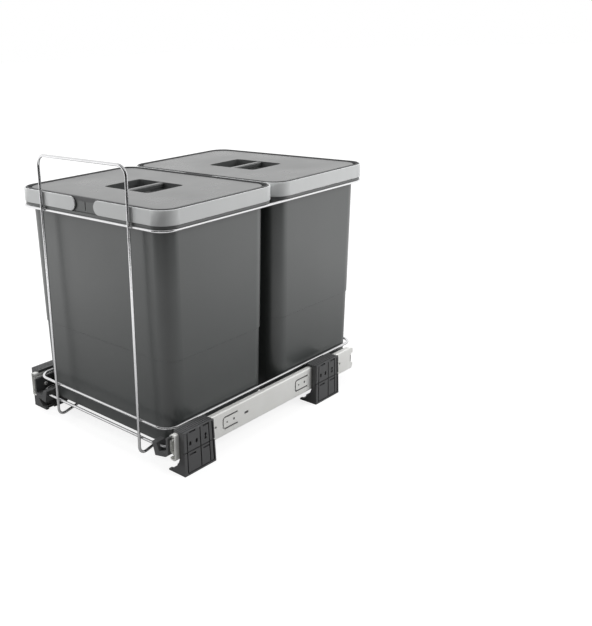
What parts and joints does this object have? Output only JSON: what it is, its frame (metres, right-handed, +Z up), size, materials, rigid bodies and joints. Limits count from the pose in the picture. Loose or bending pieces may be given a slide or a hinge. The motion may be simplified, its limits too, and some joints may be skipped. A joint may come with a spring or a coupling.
{
  "type": "pull-out bin frame",
  "caption": "Pull-out wire frame on ball slides for a base cabinet, with plastic waste bins, lids and folding carrying bands.",
  "frame": {"origin": "on the cabinet floor, under the middle of the whole frame", "axes": "+X to the right seen from the front, +Y to the rear of the cabinet, +Z up; the frame pulls out along -Y"},
  "size_m": [0.412, 0.5443, 0.4965],
  "materials": {
    "chrome_wire": "bright chrome plate on round wire",
    "zinc_steel": "bright zinc plate on rolled sheet steel",
    "ball_steel": "polished bearing balls",
    "black_plastic": "moulded black plastic with a fine grain",
    "bin_plastic": "moulded anthracite plastic with a satin grain",
    "lid_plastic": "moulded mid-grey plastic with a fine grain",
    "band_plastic": "moulded light grey plastic",
    "buffer_rubber": "soft black buffer"
  },
  "bodies": {
    "cabinet_side": {"left_front_bracket": "black_plastic", "right_front_bracket": "black_plastic", "left_rear_bracket": "black_plastic", "right_rear_bracket": "black_plastic", "left_outer_slide": "zinc_steel", "right_outer_slide": "zinc_steel", "slide_rivets": "zinc_steel", "slide_buffers": "buffer_rubber"},
    "middle_members": {"left_middle_slide": "zinc_steel", "right_middle_slide": "zinc_steel"},
    "outer_cages": {"left_outer_ball_cage": "black_plastic", "right_outer_ball_cage": "black_plastic", "left_outer_balls": "ball_steel", "right_outer_balls": "ball_steel"},
    "inner_cages": {"left_inner_ball_cage": "black_plastic", "right_inner_ball_cage": "black_plastic", "left_inner_balls": "ball_steel", "right_inner_balls": "ball_steel"},
    "basket": {"left_inner_slide": "zinc_steel", "right_inner_slide": "zinc_steel", "left_front_carrier": "black_plastic", "right_front_carrier": "black_plastic", "left_rear_carrier": "black_plastic", "right_rear_carrier": "black_plastic", "carrier_screws": "zinc_steel", "front_hoop": "chrome_wire", "rear_hoop": "chrome_wire", "upper_ring": "chrome_wire", "lower_ring": "chrome_wire", "bottom_ring": "chrome_wire", "floor_cross_wires": "chrome_wire"},
    "front_bin": {"front_bin": "bin_plastic"},
    "front_lid": {"front_lid": "lid_plastic"},
    "rear_bin": {"rear_bin": "bin_plastic"},
    "rear_lid": {"rear_lid": "lid_plastic"},
    "front_bin_left_band": {"front_bin_left_band": "band_plastic"},
    "front_bin_right_band": {"front_bin_right_band": "band_plastic"},
    "rear_bin_left_band": {"rear_bin_left_band": "band_plastic"},
    "rear_bin_right_band": {"rear_bin_right_band": "band_plastic"}
  },
  "joints": [
    {"name": "basket_run", "type": "slide", "parent": "cabinet_side", "child": "basket", "axis": [0, -1, 0], "range_m": [0, 0.48]},
    {"name": "middle_member_run", "type": "slide", "parent": "cabinet_side", "child": "middle_members", "axis": [0, -1, 0], "range_m": [0, 0.24]},
    {"name": "outer_cage_run", "type": "slide", "parent": "cabinet_side", "child": "outer_cages", "axis": [0, -1, 0], "range_m": [0, 0.12]},
    {"name": "inner_cage_run", "type": "slide", "parent": "cabinet_side", "child": "inner_cages", "axis": [0, -1, 0], "range_m": [0, 0.36]},
    {"name": "front_bin_lift", "type": "slide", "parent": "basket", "child": "front_bin", "axis": [0, 0, 1], "range_m": [0, 0.4]},
    {"name": "front_lid_lift", "type": "slide", "parent": "front_bin", "child": "front_lid", "axis": [0, 0, 1], "range_m": [0, 0.1]},
    {"name": "front_bin_left_band_swing", "type": "hinge", "parent": "front_bin", "child": "front_bin_left_band", "pos_m": [-0.036, -0.12948, 0.42], "axis": [0, 1, 0], "range_deg": [0, 90]},
    {"name": "front_bin_right_band_swing", "type": "hinge", "parent": "front_bin", "child": "front_bin_right_band", "pos_m": [0.036, -0.12948, 0.42], "axis": [0, -1, 0], "range_deg": [0, 90]},
    {"name": "rear_bin_lift", "type": "slide", "parent": "basket", "child": "rear_bin", "axis": [0, 0, 1], "range_m": [0, 0.4]},
    {"name": "rear_lid_lift", "type": "slide", "parent": "rear_bin", "child": "rear_lid", "axis": [0, 0, 1], "range_m": [0, 0.1]},
    {"name": "rear_bin_left_band_swing", "type": "hinge", "parent": "rear_bin", "child": "rear_bin_left_band", "pos_m": [-0.036, 0.13792, 0.42], "axis": [0, 1, 0], "range_deg": [0, 90]},
    {"name": "rear_bin_right_band_swing", "type": "hinge", "parent": "rear_bin", "child": "rear_bin_right_band", "pos_m": [0.036, 0.13792, 0.42], "axis": [0, -1, 0], "range_deg": [0, 90]}
  ],
  "couplings": [
    {"joint": "middle_member_run", "follows": "basket_run", "ratio": 0.5},
    {"joint": "outer_cage_run", "follows": "basket_run", "ratio": 0.25},
    {"joint": "inner_cage_run", "follows": "basket_run", "ratio": 0.75}
  ]
}
